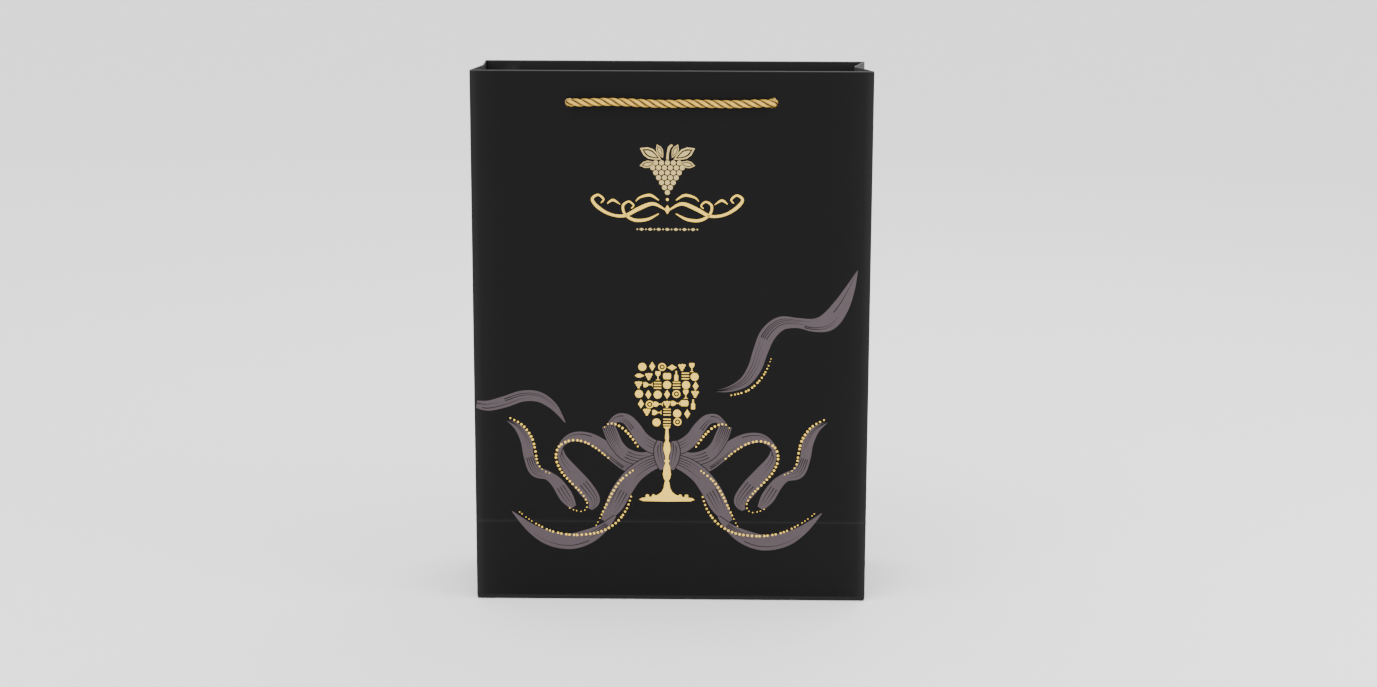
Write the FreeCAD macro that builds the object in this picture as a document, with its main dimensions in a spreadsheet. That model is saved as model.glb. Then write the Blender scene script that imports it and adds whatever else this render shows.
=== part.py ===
import FreeCAD, Part

import math
import os

from FreeCAD import Rotation, Vector

# A paper carrier for two wine bottles. Millimetres, +Z up, the front faces -Y, and the origin is
# the middle of the underside. Every crease is a small gap between two separate pieces of paper.

DRIVING = {
    "bag_width": 280.0,
    "bag_depth": 110.0,
    "bag_height": 380.0,
    "paper_thickness": 0.35,
    "fold_clearance": 0.35,
    "corner_gap": 0.9,
    "crease_gap": 0.4,
    "base_crease_height": 58.0,
    "hem_height": 40.0,
    "hem_end_gap": 1.0,
    "card_thickness": 1.0,
    "card_height": 38.0,
    "card_end_gap": 2.0,
    "board_thickness": 1.5,
    "board_edge_gap": 1.5,
    "long_flap_depth": 65.0,
    "long_flap_taper": 14.0,
    "side_flap_depth": 44.0,
    "seam_width": 16.0,
    "rope_diameter": 5.5,
    "rope_span": 142.5,
    "rope_drop": 22.0,
    "rope_bend_per_diameter": 0.98,
    "rope_face_gap": 0.1,
    "rope_hole_clearance": 1.9,
    "rope_hole_inset": 0.75,
    "tail_length": 100.0,
    "tail_straight": 34.0,
    "front_tail_shift": -11.0,
    "back_tail_shift": 9.5,
    "tail_wall_gap": 0.4,
    "knot_diameter": 11.5,
    "knot_length": 13.0,
    "knot_end_length": 9.0,
    "knot_top_cut": 1.5,
}

doc = FreeCAD.newDocument("WineGiftBag")
sizes = doc.addObject("Spreadsheet::Sheet", "Sizes")
for row, (name, value) in enumerate(DRIVING.items(), start=1):
    sizes.set("A%d" % row, name)
    sizes.set("B%d" % row, str(value))
    sizes.setAlias("B%d" % row, name)
doc.recompute()

HALF_WIDTH = "Sizes.bag_width / 2"
HALF_DEPTH = "Sizes.bag_depth / 2"
TOP = "Sizes.bag_height"
PAPER = "Sizes.paper_thickness"
HALF_GAP = "Sizes.corner_gap / 2"
HALF_CREASE = "Sizes.crease_gap / 2"
CREASE = "Sizes.base_crease_height"
CARD = "Sizes.card_thickness"
# The corner folds stand in from the faces by the thickest stack that closes against them.
INSET = (
    "(max(Sizes.board_thickness + 3 * Sizes.paper_thickness; "
    "Sizes.card_thickness + 4 * Sizes.paper_thickness) + Sizes.fold_clearance)"
)

# A wedge is drawn as a trapezium in its own XY plane and turned into the plane of its piece.
TURN_Z_UP_Y_ALONG = Rotation(Vector(0, 1, 0), -90)
TURN_Y_ALONG_Z_UP = Rotation(Vector(1, 1, 1), 120)
NO_TURN = Rotation()

pieces = []


def bind(thing, values):
    """Binds each named property of an object to an expression on the sheet."""
    for name, expression in values.items():
        thing.setExpression(name, str(expression))
    return thing


def place(thing, x="0", y="0", z="0", turn=NO_TURN):
    thing.Placement = FreeCAD.Placement(Vector(0, 0, 0), turn)
    return bind(thing, {"Placement.Base.x": x, "Placement.Base.y": y, "Placement.Base.z": z})


def slab(name, x, y, z):
    """A box from three pairs of expressions, each a low end and a high end."""
    box = doc.addObject("Part::Box", name)
    bind(box, {
        "Length": f"({x[1]}) - ({x[0]})",
        "Width": f"({y[1]}) - ({y[0]})",
        "Height": f"({z[1]}) - ({z[0]})",
    })
    return place(box, x[0], y[0], z[0])


def trapezium(name, low, high, first, last, turn, x="0", z="0"):
    """A sheet of paper whose two parallel sides, first and last, lie at low and high."""
    wedge = doc.addObject("Part::Wedge", name)
    bind(wedge, {
        "Ymin": low,
        "Ymax": high,
        "Xmin": first[0],
        "Xmax": first[1],
        "X2min": last[0],
        "X2max": last[1],
        "Zmin": "0",
        "Z2min": "0",
        "Zmax": PAPER,
        "Z2max": PAPER,
    })
    return place(wedge, x, "0", z, turn)


def fused(name, parts):
    fuse = doc.addObject("Part::MultiFuse", name)
    fuse.Shapes = parts
    fuse.Refine = True
    return fuse


def cut(name, base, tool):
    result = doc.addObject("Part::Cut", name)
    result.Base = base
    result.Tool = tool
    return result


def piece(thing, label):
    thing.Label = label
    pieces.append(thing)
    return thing


def side_faces(side):
    """The outer and inner face of the side wall in x, low end first, for side -1 or +1."""
    if side < 0:
        return f"-{HALF_WIDTH}", f"-{HALF_WIDTH} + {PAPER}"
    return f"{HALF_WIDTH} - {PAPER}", HALF_WIDTH


def wall_band(side, near, far):
    """A band of y between two distances in from the front face (-1) or the back face (+1)."""
    if side < 0:
        return f"-{HALF_DEPTH} + ({near})", f"-{HALF_DEPTH} + ({far})"
    return f"{HALF_DEPTH} - ({far})", f"{HALF_DEPTH} - ({near})"


def rope_holes(name, side):
    """Two punched holes through the top of the front (-1) or back (+1) wall."""
    holes = []
    for end in (-1, 1):
        hole = doc.addObject("Part::Cylinder", f"{name}_{'left' if end < 0 else 'right'}")
        bind(hole, {
            "Radius": "(Sizes.rope_diameter + Sizes.rope_hole_clearance) / 2",
            "Height": f"2 * {INSET} + 2 * {CARD}",
        })
        place(
            hole,
            f"{end} * (Sizes.rope_span / 2 - Sizes.rope_hole_inset)",
            f"{side} * {HALF_DEPTH} + {INSET} + {CARD}",
            f"{TOP} - Sizes.rope_drop",
            Rotation(Vector(1, 0, 0), 90),
        )
        holes.append(hole)
    return fused(name, holes)


def wall(name, side, bottom, flange_bottom, top, punched):
    """A front or back sheet with a narrow return at each end, where the side paper folds."""
    across = (f"-{HALF_WIDTH}", HALF_WIDTH)
    parts = [slab(f"{name}_sheet", across, wall_band(side, "0", PAPER), (bottom, top))]
    for end in (-1, 1):
        parts.append(slab(
            f"{name}_return_{'left' if end < 0 else 'right'}",
            side_faces(end),
            wall_band(side, "0", f"{INSET} - {HALF_GAP}"),
            (flange_bottom, top),
        ))
    whole = fused(f"{name}_joined", parts)
    if punched:
        whole = cut(f"{name}_punched", whole, rope_holes(f"{name}_holes", side))
    return piece(whole, name)


def top_card(name, side):
    """The stiff strip that the rope pulls on, inside the turned-over top of a wall."""
    reach = f"({HALF_WIDTH} - {PAPER} - Sizes.card_end_gap)"
    strip = slab(
        f"{name}_strip",
        (f"-{reach}", reach),
        wall_band(side, PAPER, f"{PAPER} + {CARD}"),
        (f"{TOP} - {PAPER} - Sizes.card_height", f"{TOP} - {PAPER}"),
    )
    return piece(cut(f"{name}_punched", strip, rope_holes(f"{name}_holes", side)), name)


def wall_hem(name, side):
    """The paper turned over the top edge and down the inside, over the card."""
    reach = f"({HALF_WIDTH} - {PAPER} - Sizes.hem_end_gap)"
    across = (f"-{reach}", reach)
    inside = slab(
        f"{name}_inside",
        across,
        wall_band(side, f"{PAPER} + {CARD}", f"2 * {PAPER} + {CARD}"),
        (f"{TOP} - Sizes.hem_height", TOP),
    )
    over = slab(f"{name}_over", across, wall_band(side, PAPER, f"{PAPER} + {CARD}"),
                (f"{TOP} - {PAPER}", TOP))
    whole = fused(f"{name}_joined", [inside, over])
    return piece(cut(f"{name}_punched", whole, rope_holes(f"{name}_holes", side)), name)


def rear_gusset(name, side):
    """The rear half of a side, from the top down to the slanting fold of the base."""
    outer = side_faces(side)[1]
    low, high = HALF_GAP, f"{HALF_DEPTH} - {INSET} - {HALF_GAP}"
    sheet = trapezium(
        name,
        low,
        high,
        (f"{HALF_DEPTH} - ({low}) + {HALF_GAP}", TOP),
        (f"{HALF_DEPTH} - ({high}) + {HALF_GAP}", TOP),
        TURN_Z_UP_Y_ALONG,
        x=outer,
    )
    return piece(sheet, name)


def front_gusset(name, side):
    """The front half of a side, down to the crease that crosses the front."""
    y = (f"-{HALF_DEPTH} + {INSET} + {HALF_GAP}", f"-{HALF_GAP}")
    return piece(slab(name, side_faces(side), y, (f"{CREASE} + {HALF_CREASE}", TOP)), name)


def gusset_hem(name, side, end):
    """The turned-over top of one half of a side, glued to its inner face."""
    inner = side_faces(side)[1] if side < 0 else side_faces(side)[0]
    x = (inner, f"{inner} + {PAPER}") if side < 0 else (f"{inner} - {PAPER}", inner)
    near, far = f"{INSET} + {HALF_GAP}", f"{HALF_DEPTH} - {HALF_GAP} - {PAPER}"
    return piece(slab(name, x, wall_band(end, near, far), (f"{TOP} - Sizes.hem_height", TOP)), name)


def foot_triangle(name, side):
    """The low triangle of a side that stands on the base and folds down onto it."""
    reach = f"({HALF_DEPTH} - {HALF_GAP} - {PAPER})"
    sheet = trapezium(
        name,
        PAPER,
        f"{HALF_DEPTH} - {HALF_GAP} - 2 * {PAPER}",
        (f"-{reach}", reach),
        (f"-{PAPER}", PAPER),
        TURN_Y_ALONG_Z_UP,
        x=side_faces(side)[0],
    )
    return piece(sheet, name)


def corner_triangle(name, side):
    """The triangle beside the front's lower band, between the slanting fold and the crease."""
    low, high = f"-{HALF_DEPTH} + {INSET} + {HALF_GAP}", f"-{HALF_GAP}"
    top = f"{CREASE} - {HALF_CREASE}"
    sheet = trapezium(
        name,
        low,
        high,
        (f"{HALF_DEPTH} + ({low}) + {HALF_GAP}", top),
        (f"{HALF_DEPTH} + ({high}) + {HALF_GAP}", top),
        TURN_Z_UP_Y_ALONG,
        x=side_faces(side)[1],
    )
    return piece(sheet, name)


BASE_REACH = f"({HALF_WIDTH} - {PAPER} - Sizes.fold_clearance)"


def long_flap(name, side, level, edge):
    """A flap under the base, from the front (-1) or back (+1) edge towards the other."""
    outer = f"{side} * ({HALF_DEPTH} - ({edge}))"
    inner = f"{side} * ({HALF_DEPTH} - Sizes.long_flap_depth)"
    wide = (f"-{BASE_REACH}", BASE_REACH)
    narrow = (f"-{BASE_REACH} + Sizes.long_flap_taper", f"{BASE_REACH} - Sizes.long_flap_taper")
    ends = (outer, inner, wide, narrow) if side < 0 else (inner, outer, narrow, wide)
    return trapezium(name, ends[0], ends[1], ends[2], ends[3], NO_TURN, z=level)


def front_flap():
    """The flap that turns up in front, to meet the front's lower band at the corner fold."""
    flap = long_flap("front_flap_sheet", -1, "0", PAPER)
    turned_up = slab(
        "front_flap_turned_up",
        (f"-{HALF_WIDTH}", HALF_WIDTH),
        wall_band(-1, "0", PAPER),
        ("0", f"{INSET} - {HALF_GAP}"),
    )
    return piece(fused("front_flap_joined", [flap, turned_up]), "bottom_flap_front")


def side_flap(name, side):
    """A flap on top of the long flaps, cut at 45 degrees at both ends."""
    half = f"({HALF_DEPTH} - {PAPER} - Sizes.fold_clearance)"
    long_side = (f"-{half}", half)
    short_side = (f"-{half} + Sizes.side_flap_depth", f"{half} - Sizes.side_flap_depth")
    sheet = trapezium(
        name,
        f"-{BASE_REACH}",
        f"-{BASE_REACH} + Sizes.side_flap_depth",
        long_side,
        short_side,
        Rotation(Vector(0, 0, 1), -90) if side < 0 else Rotation(Vector(0, 0, 1), 90),
        z=f"2 * {PAPER}",
    )
    return piece(sheet, name)


def base_board():
    """The loose card that lies on the flaps and keeps the base flat."""
    x_reach = f"({HALF_WIDTH} - {PAPER} - Sizes.board_edge_gap)"
    y_reach = f"({HALF_DEPTH} - {PAPER} - Sizes.board_edge_gap)"
    level = f"3 * {PAPER}"
    board = slab("board", (f"-{x_reach}", x_reach), (f"-{y_reach}", y_reach),
                 (level, f"{level} + Sizes.board_thickness"))
    return piece(board, "base_board")


def seam_tab():
    """The glued overlap that closes the sheet, up the left end of the back's inner face."""
    start = f"(-{HALF_WIDTH} + {INSET})"
    tab = slab("seam", (start, f"{start} + Sizes.seam_width"), wall_band(1, PAPER, f"2 * {PAPER}"),
               (f"{INSET} + {HALF_GAP}", f"{TOP} - Sizes.hem_height - {CARD}"))
    return piece(tab, "side_seam_tab")


BEND_SPARE = 0.11


def tight_bend():
    """The radius at which the rope turns beside its hole."""
    return sizes.rope_bend_per_diameter * sizes.rope_diameter


def rope_route(side, tail_shift):
    """The points of one rope, from its left knot to its right knot."""
    half_depth = sizes.bag_depth / 2
    radius = sizes.rope_diameter / 2
    out = side * (half_depth + radius + sizes.rope_face_gap)
    inside = out - side * 2 * (tight_bend() + BEND_SPARE)
    hanging = side * (half_depth - sizes.paper_thickness - sizes.knot_diameter / 2
                      - sizes.tail_wall_gap)
    level = sizes.bag_height - sizes.rope_drop
    corner = sizes.rope_span / 2
    knot_x = corner + tail_shift
    knot_z = level - sizes.tail_length
    right = [
        Vector(corner, out, level),
        Vector(corner, inside, level),
        Vector(knot_x, hanging, knot_z + sizes.tail_straight),
        Vector(knot_x, hanging, knot_z),
    ]
    left = [Vector(-p.x, p.y, p.z) for p in reversed(right)]
    return left + right


def rope_wire(points, tight_radius):
    """Straight runs joined by tangent arcs, each as large as its two runs allow."""
    edges = []
    start = points[0]
    for before, corner, after in zip(points, points[1:], points[2:]):
        back = (before - corner).normalize()
        ahead = (after - corner).normalize()
        turn = math.pi - back.getAngle(ahead)
        shorter = min((before - corner).Length, (after - corner).Length)
        radius = 0.45 * shorter / math.tan(turn / 2)
        if turn > math.radians(60):
            radius = tight_radius
        reach = radius * math.tan(turn / 2)
        arc_start = corner + back * reach
        arc_end = corner + ahead * reach
        middle = corner + (back + ahead).normalize() * (radius / math.cos(turn / 2) - radius)
        edges.append(Part.LineSegment(start, arc_start).toShape())
        edges.append(Part.Arc(arc_start, middle, arc_end).toShape())
        print("bend radius %.1f turn %.0f" % (radius, math.degrees(turn)))
        start = arc_end
    edges.append(Part.LineSegment(start, points[-1]).toShape())
    length = sum(edge.Length for edge in edges)
    return Part.Wire(edges), length


def rope(name, side, tail_shift):
    """One twisted handle rope, pulled in so that it lies straight across the wall."""
    points = rope_route(side, tail_shift)
    path, length = rope_wire(points, tight_bend())
    radius = sizes.rope_diameter / 2
    section = Part.Wire([Part.Circle(points[0], Vector(0, 0, 1), radius).toShape()])
    tube = path.makePipeShell([section], True, False)
    full = math.pi * radius * radius * length
    print("%s: %.1f mm long, volume ratio %.4f" % (name, length, tube.Volume / full))
    whole = doc.addObject("Part::Feature", name)
    whole.Shape = tube
    piece(whole, name)
    for end, word in ((-1, "left"), (1, "right")):
        knot(f"{name}_knot_{word}", side, end, tail_shift)


def knot(name, side, end, tail_shift):
    """The knot at the end of a tail, with the short cut end below it."""
    x = f"{end} * (Sizes.rope_span / 2 + ({tail_shift}))"
    y = f"{side} * ({HALF_DEPTH} - {PAPER} - Sizes.knot_diameter / 2 - Sizes.tail_wall_gap)"
    top = f"{TOP} - Sizes.rope_drop - Sizes.tail_length"
    middle = f"{top} - Sizes.knot_length / 2 + Sizes.knot_top_cut"
    ball = doc.addObject("Part::Ellipsoid", f"{name}_ball")
    bind(ball, {
        "Radius1": "Sizes.knot_length / 2",
        "Radius2": "Sizes.knot_diameter / 2",
        "Radius3": "Sizes.knot_diameter / 2",
    })
    place(ball, x, y, middle)
    end_stub = doc.addObject("Part::Cylinder", f"{name}_end")
    bind(end_stub, {
        "Radius": "Sizes.rope_diameter / 2",
        "Height": "Sizes.knot_length / 2 + Sizes.knot_end_length",
    })
    place(end_stub, x, y, f"{middle} - Sizes.knot_length / 2 - Sizes.knot_end_length")
    both = fused(f"{name}_joined", [ball, end_stub])
    above = doc.addObject("Part::Box", f"{name}_above")
    size = "2 * Sizes.knot_length"
    bind(above, {"Length": size, "Width": size, "Height": size})
    place(above, f"{x} - Sizes.knot_length", f"{y} - Sizes.knot_length", top)
    return piece(cut(f"{name}_trimmed", both, above), name)


CORNER_BOTTOM = f"{INSET} + {HALF_GAP}"

wall("back_panel", 1, "0", CORNER_BOTTOM, TOP, True)
wall("front_panel", -1, f"{CREASE} + {HALF_CREASE}", f"{CREASE} + {HALF_CREASE}", TOP, True)
wall("front_lower_band", -1, CORNER_BOTTOM, CORNER_BOTTOM, f"{CREASE} - {HALF_CREASE}", False)
for end, word in ((-1, "front"), (1, "back")):
    top_card(f"{word}_top_card", end)
    wall_hem(f"{word}_hem", end)
seam_tab()
for side, word in ((-1, "left"), (1, "right")):
    rear_gusset(f"{word}_gusset_rear", side)
    front_gusset(f"{word}_gusset_front", side)
    gusset_hem(f"{word}_gusset_rear_hem", side, 1)
    gusset_hem(f"{word}_gusset_front_hem", side, -1)
    foot_triangle(f"{word}_foot_triangle", side)
    corner_triangle(f"{word}_corner_triangle", side)
    side_flap(f"bottom_flap_{word}", side)
front_flap()
piece(long_flap("bottom_flap_rear", 1, PAPER, f"{PAPER} + Sizes.fold_clearance"), "bottom_flap_rear")
base_board()
rope("front_rope", -1, sizes.front_tail_shift)
rope("back_rope", 1, sizes.back_tail_shift)

doc.recompute()

for thing in doc.Objects:
    if "Invalid" in thing.State or "Error" in thing.State:
        raise RuntimeError("%s failed: %s" % (thing.Name, thing.State))
os.makedirs("parts", exist_ok=True)
for thing in pieces:
    shape = thing.Shape
    if shape.isNull() or not shape.isValid() or len(shape.Solids) != 1:
        raise RuntimeError("%s is not one valid solid" % thing.Label)
    shape.exportStep(os.path.join("parts", thing.Label + ".step"))
print("%d pieces" % len(pieces))
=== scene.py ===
"""A black paper gift bag for wine, with gold rope handles and a printed ribbon ornament."""

import math
import random

import bmesh
import bpy
from mathutils import Matrix, Vector


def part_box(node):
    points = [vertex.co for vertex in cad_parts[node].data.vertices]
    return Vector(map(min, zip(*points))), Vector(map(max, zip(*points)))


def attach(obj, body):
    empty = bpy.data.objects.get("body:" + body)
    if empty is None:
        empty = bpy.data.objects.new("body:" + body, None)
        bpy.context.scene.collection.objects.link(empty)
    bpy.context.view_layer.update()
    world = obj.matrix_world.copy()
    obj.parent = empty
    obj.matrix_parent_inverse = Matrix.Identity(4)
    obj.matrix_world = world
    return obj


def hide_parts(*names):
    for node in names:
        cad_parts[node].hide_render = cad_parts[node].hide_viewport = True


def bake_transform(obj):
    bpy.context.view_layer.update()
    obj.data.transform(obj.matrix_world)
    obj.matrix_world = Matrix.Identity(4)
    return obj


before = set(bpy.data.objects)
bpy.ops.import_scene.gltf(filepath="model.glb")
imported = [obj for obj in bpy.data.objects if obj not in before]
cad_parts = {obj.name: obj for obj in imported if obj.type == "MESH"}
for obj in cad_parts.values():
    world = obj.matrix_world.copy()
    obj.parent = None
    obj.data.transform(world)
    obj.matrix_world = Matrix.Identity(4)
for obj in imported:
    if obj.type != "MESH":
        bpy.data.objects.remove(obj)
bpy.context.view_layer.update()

MM = 0.001
back_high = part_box("back_panel")[1]
HALF_W = back_high[0] / MM
HALF_D = back_high[1] / MM
TOP = back_high[2] / MM
CREASE_Z = (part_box("front_panel")[0][2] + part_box("front_lower_band")[1][2]) / 2 / MM
HEM_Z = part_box("front_hem")[0][2] / MM
INSET = HALF_D - (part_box("left_gusset_rear")[1][1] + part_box("back_panel")[0][1]) / 2 / MM

PAPER = 0.32
CORNER_RADIUS = 1.3
WALL_ROLL = 0.85
SIDE_ROLL = 0.42
RIDGE = 0.28
CREASE_STEP = 0.15
ART_X = -2.8
PRINT_LIFT = 0.02
LAYER = 0.008
FILM = 0.006
# Painted light: how much paler the inner hems are made, as light from the front would show them.
HEM_PAINTED_LIGHT = 0.12
FOLD_LIFT = 0.25
FOLD_FADE = 1.2
FOLD_WEAR = 0.22
WALL_STEPS = 56
SEAM_EDGE_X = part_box("side_seam_tab")[1][0] / MM
CREASE_ROWS = (CREASE_STEP, 0.7, 1.5, 3, 4.5, 6.5, 9)


# ---------------------------------------------------------------- camera

CAMERA_PLACE = Vector((32.8, -1580.5, 481.6)) * MM
CAMERA_DOWN, CAMERA_TURN, CAMERA_ROLL = (math.radians(a) for a in (10.88, -0.77, 0.2))
CAMERA_LENS = 57.5


def make_camera():
    forward = Vector((
        math.sin(CAMERA_TURN) * math.cos(CAMERA_DOWN),
        math.cos(CAMERA_TURN) * math.cos(CAMERA_DOWN),
        -math.sin(CAMERA_DOWN),
    ))
    level = Vector((math.cos(CAMERA_TURN), -math.sin(CAMERA_TURN), 0))
    above = level.cross(forward)
    right = math.cos(CAMERA_ROLL) * level + math.sin(CAMERA_ROLL) * above
    up = right.cross(forward)
    camera = bpy.data.objects.new("camera", bpy.data.cameras.new("camera"))
    camera.data.sensor_width = 36
    camera.data.lens = CAMERA_LENS
    turn = Matrix((right, up, -forward)).transposed().to_4x4()
    camera.matrix_world = Matrix.Translation(CAMERA_PLACE) @ turn
    bpy.context.scene.collection.objects.link(camera)
    bpy.context.scene.camera = camera


# ---------------------------------------------------------------- materials


class Nodes:
    """A short way to build one material's node tree."""

    def __init__(self, name):
        self.material = bpy.data.materials.new(name)
        self.material.use_nodes = True
        self.tree = self.material.node_tree
        self.shader = self.tree.nodes["Principled BSDF"]

    def add(self, kind, **inputs):
        node = self.tree.nodes.new("ShaderNode" + kind)
        for key, value in inputs.items():
            name = key.replace("_", " ")
            if name in node.inputs:
                self.feed(node.inputs[name], value)
            else:
                setattr(node, key, value)
        return node

    def feed(self, socket, value):
        if isinstance(value, bpy.types.NodeSocket):
            self.tree.links.new(value, socket)
        else:
            socket.default_value = value

    def surface(self, **inputs):
        for key, value in inputs.items():
            self.feed(self.shader.inputs[key.replace("_", " ")], value)

    def noise(self, scale, detail=3.0, source="Object"):
        coordinates = self.add("TexCoord")
        noise = self.add("TexNoise", Scale=scale, Detail=detail)
        self.feed(noise.inputs["Vector"], coordinates.outputs[source])
        return noise.outputs["Fac"]

    def mix(self, factor, low, high):
        mix = self.add("Mix", data_type="RGBA")
        for socket, value in (("Factor_Float", factor), ("A_Color", low), ("B_Color", high)):
            self.feed(next(s for s in mix.inputs if s.identifier == socket), value)
        return next(s for s in mix.outputs if s.identifier == "Result_Color")

    def spread(self, value, low, high):
        ramp = self.add("MapRange")
        self.feed(ramp.inputs["Value"], value)
        ramp.inputs["To Min"].default_value = low
        ramp.inputs["To Max"].default_value = high
        return ramp.outputs["Result"]

    def bump(self, height, strength, distance):
        bump = self.add("Bump", Strength=strength, Distance=distance)
        self.feed(bump.inputs["Height"], height)
        self.feed(self.shader.inputs["Normal"], bump.outputs["Normal"])

    def attribute(self, name):
        return self.add("Attribute", attribute_name=name).outputs["Fac"]


def paper_material(name, colour, worn_and_lit_colour, roughness):
    """Matt laminated paper: fine fibre, a little mottling, paler worn folds, and painted light: paler
    inner hems, painted sheen towards the upright corners and beside the back's seam.
    """
    n = Nodes(name)
    cloud = n.noise(14, 5)
    mottle = n.mix(cloud, colour, tuple(c * 1.4 for c in colour[:3]) + (1,))
    # This mix pales the paper: real wear on the folds and top edges, painted light on the inner hems,
    # and painted sheen near the upright corners and beside the back's seam.
    edge = n.attribute("wear_and_painted_light")
    n.surface(Base_Color=n.mix(edge, mottle, worn_and_lit_colour))
    n.surface(Roughness=n.spread(n.noise(60), roughness - 0.05, roughness + 0.06))
    n.surface(Specular_IOR_Level=0.1)
    n.bump(n.noise(2600, 6), 0.12, 0.0002)
    return n.material


def board_material(name, colour):
    """Grey board or lined card: visible flecks of fibre."""
    n = Nodes(name)
    fleck = n.spread(n.noise(900, 8), -0.2, 1.2)
    n.surface(Base_Color=n.mix(fleck, colour, tuple(c * 1.5 for c in colour[:3]) + (1,)))
    n.surface(Roughness=0.85)
    n.bump(n.noise(1500, 8), 0.3, 0.0002)
    return n.material


def ink_material(name, colour):
    """Flat printed ink under the same matt film as the paper."""
    n = Nodes(name)
    n.surface(Base_Color=n.mix(n.noise(120), colour, tuple(c * 1.12 for c in colour[:3]) + (1,)))
    n.surface(Roughness=0.5, Specular_IOR_Level=0.1)
    n.bump(n.noise(2600, 6), 0.1, 0.0002)
    return n.material


def foil_material(name, colour):
    """Hot-stamped foil: part metal, with a fine uneven shine."""
    n = Nodes(name)
    n.surface(Base_Color=n.mix(n.noise(350), colour, tuple(c * 0.86 for c in colour[:3]) + (1,)))
    n.surface(Metallic=0.35, Roughness=n.spread(n.noise(500), 0.32, 0.5))
    n.bump(n.noise(1800, 4), 0.15, 0.0001)
    return n.material


def rope_material(name):
    """Twisted satin yarn: each strand is a bundle of fine threads that turn the other way, with painted
    shade darkening the grooves between the strands.
    """
    n = Nodes(name)
    uv = n.add("UVMap", uv_map="thread")
    threads = n.add("TexWave", wave_type="BANDS", bands_direction="X", Scale=3.2, Distortion=0.6)
    threads.inputs["Detail"].default_value = 2
    n.feed(threads.inputs["Vector"], uv.outputs["UV"])
    line = threads.outputs["Fac"]
    # Painted shade: a dark brown is mixed in where the height value is low, down in the grooves between
    # strands.
    height = n.attribute("height")
    tone = n.mix(line, (0.52, 0.26, 0.01, 1), (1.0, 0.64, 0.03, 1))
    tone = n.mix(n.spread(n.noise(90), 0, 0.35), tone, (0.82, 0.46, 0.02, 1))
    n.surface(Base_Color=n.mix(height, (0.045, 0.016, 0.001, 1), tone))
    n.surface(Roughness=0.4, Metallic=0.3, Sheen_Weight=0.1)
    n.bump(line, 0.5, 0.0003)
    return n.material


BLACK = paper_material("black_paper", (0.0022, 0.002, 0.0024, 1), (0.07, 0.067, 0.07, 1), 0.52)
BOARD = board_material("grey_board", (0.2, 0.19, 0.175, 1))
LINED = board_material("lined_board", (0.02, 0.02, 0.022, 1))
MAUVE = ink_material("mauve_ink", (0.064, 0.05, 0.056, 1))
LINE_INK = ink_material("black_ink", (0.0022, 0.002, 0.0024, 1))
FOIL = foil_material("gold_foil", (1.0, 0.65, 0.06, 1))
DULL_FOIL = foil_material("dull_gold_foil", (0.58, 0.43, 0.15, 1))
ROPE = rope_material("gold_rope")


# ---------------------------------------------------------------- mesh helpers


def smooth_step(value):
    value = min(1.0, max(0.0, value))
    return value * value * (3 - 2 * value)


def new_object(name, mesh, material):
    mesh.materials.append(material)
    thing = bpy.data.objects.new(name, mesh)
    bpy.context.scene.collection.objects.link(thing)
    return thing


def applied(thing):
    """Bakes an object's modifiers into its mesh."""
    bpy.context.view_layer.update()
    ready = thing.evaluated_get(bpy.context.evaluated_depsgraph_get())
    mesh = bpy.data.meshes.new_from_object(ready)
    thing.modifiers.clear()
    thing.data = mesh
    return thing


def shade(thing, angle=40):
    thing.data.shade_smooth()
    thing.data.set_sharp_from_angle(angle=math.radians(angle))


def grid_mesh(name, rows, wear_and_painted_light=None):
    """A sheet through rows of points in millimetres, all rows of one length."""
    mesh = bpy.data.meshes.new(name)
    across = len(rows[0])
    points = [Vector(p) * MM for row in rows for p in row]
    faces = []
    for i in range(len(rows) - 1):
        for j in range(across - 1):
            a = i * across + j
            faces.append((a, a + 1, a + 1 + across, a + across))
    mesh.from_pydata(points, [], faces)
    values = mesh.attributes.new("wear_and_painted_light", "FLOAT", "POINT")
    if wear_and_painted_light is not None:
        values.data.foreach_set("value", [w for row in wear_and_painted_light for w in row])
    return mesh


def paper_sheet(name, rows, wear_and_painted_light, way, holes=()):
    """A sheet of paper with its real thickness, laid to one side of the rows of points."""
    thing = new_object(name, grid_mesh(name, rows, wear_and_painted_light), BLACK)
    solid = thing.modifiers.new("thickness", "SOLIDIFY")
    solid.thickness = PAPER * MM
    solid.offset = way
    applied(thing)
    for hole in holes:
        punch = thing.modifiers.new("punch", "BOOLEAN")
        punch.operation = "DIFFERENCE"
        punch.solver = "EXACT"
        punch.object = hole
        applied(thing)
    for hole in holes:
        bpy.data.objects.remove(hole)
    shade(thing)
    return thing


# ---------------------------------------------------------------- paper shape


def crease_ridge(z):
    """The front stands out a little along the cross crease."""
    return RIDGE * math.exp(-abs(z - CREASE_Z) / 2.2)


def wall_bow(x, z, side):
    """How far the front (-1) or back (+1) face stands outward of its plane, in millimetres."""
    along = max(0.0, 1 - (x / (HALF_W - 4)) ** 2)
    low = CREASE_Z if side < 0 else 0.0
    rise = (z - low) / (TOP - low)
    up = max(0.0, 4 * rise * (1 - rise))
    soft = 0.55 + 0.45 * math.sin(x * 0.019 + side + z * 0.008) * math.cos(z * 0.013 + 0.6)
    bow = -0.75 * along * up * soft
    if side < 0:
        bow = bow if z > CREASE_Z else 0.0
        bow += crease_ridge(z)
    return bow


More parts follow.
